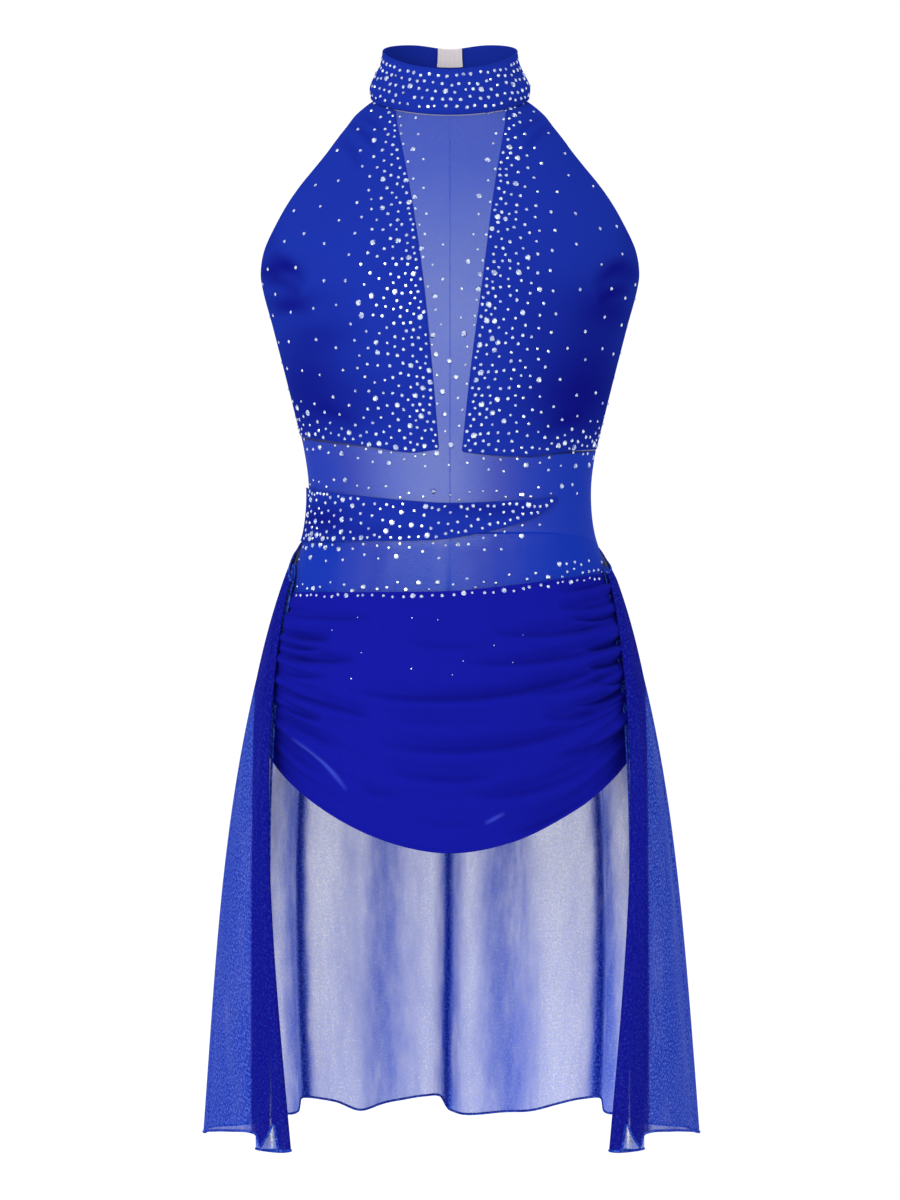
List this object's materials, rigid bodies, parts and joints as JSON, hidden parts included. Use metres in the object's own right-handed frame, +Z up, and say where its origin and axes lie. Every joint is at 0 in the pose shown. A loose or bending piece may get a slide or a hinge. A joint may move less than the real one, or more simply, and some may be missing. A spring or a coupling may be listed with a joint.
{
  "type": "rhythmic gymnastics dress",
  "caption": "Sleeveless stand-collar dress with sheer V inset and waist, tapering sash, ruched front drape and a floating sheer back skirt, filled out as worn.",
  "frame": {"origin": "middle of the neck opening at the foot of the stand collar, level with the collar's foot at the sides", "axes": "+Z up along the body, -Y out of the front, +X to the right of a viewer who faces the front"},
  "size_m": [0.4169, 0.2927, 0.916],
  "materials": {
    "knit": "fine stretch knit, royal blue, soft satin sheen",
    "mesh_net": "sheer power mesh, royal blue, fine hexagonal net",
    "chiffon": "sheer crepe chiffon, royal blue, matt, rolled hem",
    "ruched_chiffon": "several layers of chiffon gathered to a dense dark royal blue, matt",
    "label_tape": "woven off-white tape, blank",
    "crystal": "flat-backed faceted clear stones, foil backed"
  },
  "bodies": {
    "root": {"collar": "knit", "collar_tab": "knit", "neck_label": "label_tape", "front_left": "knit", "front_right": "knit", "front_mesh": "mesh_net", "sash": "knit", "back_left": "mesh_net", "back_right": "mesh_net", "brief_front": "knit", "brief_back": "knit", "front_drape": "ruched_chiffon", "skirt_left": "chiffon", "skirt_back": "chiffon", "skirt_right": "chiffon"}
  },
  "joints": []
}
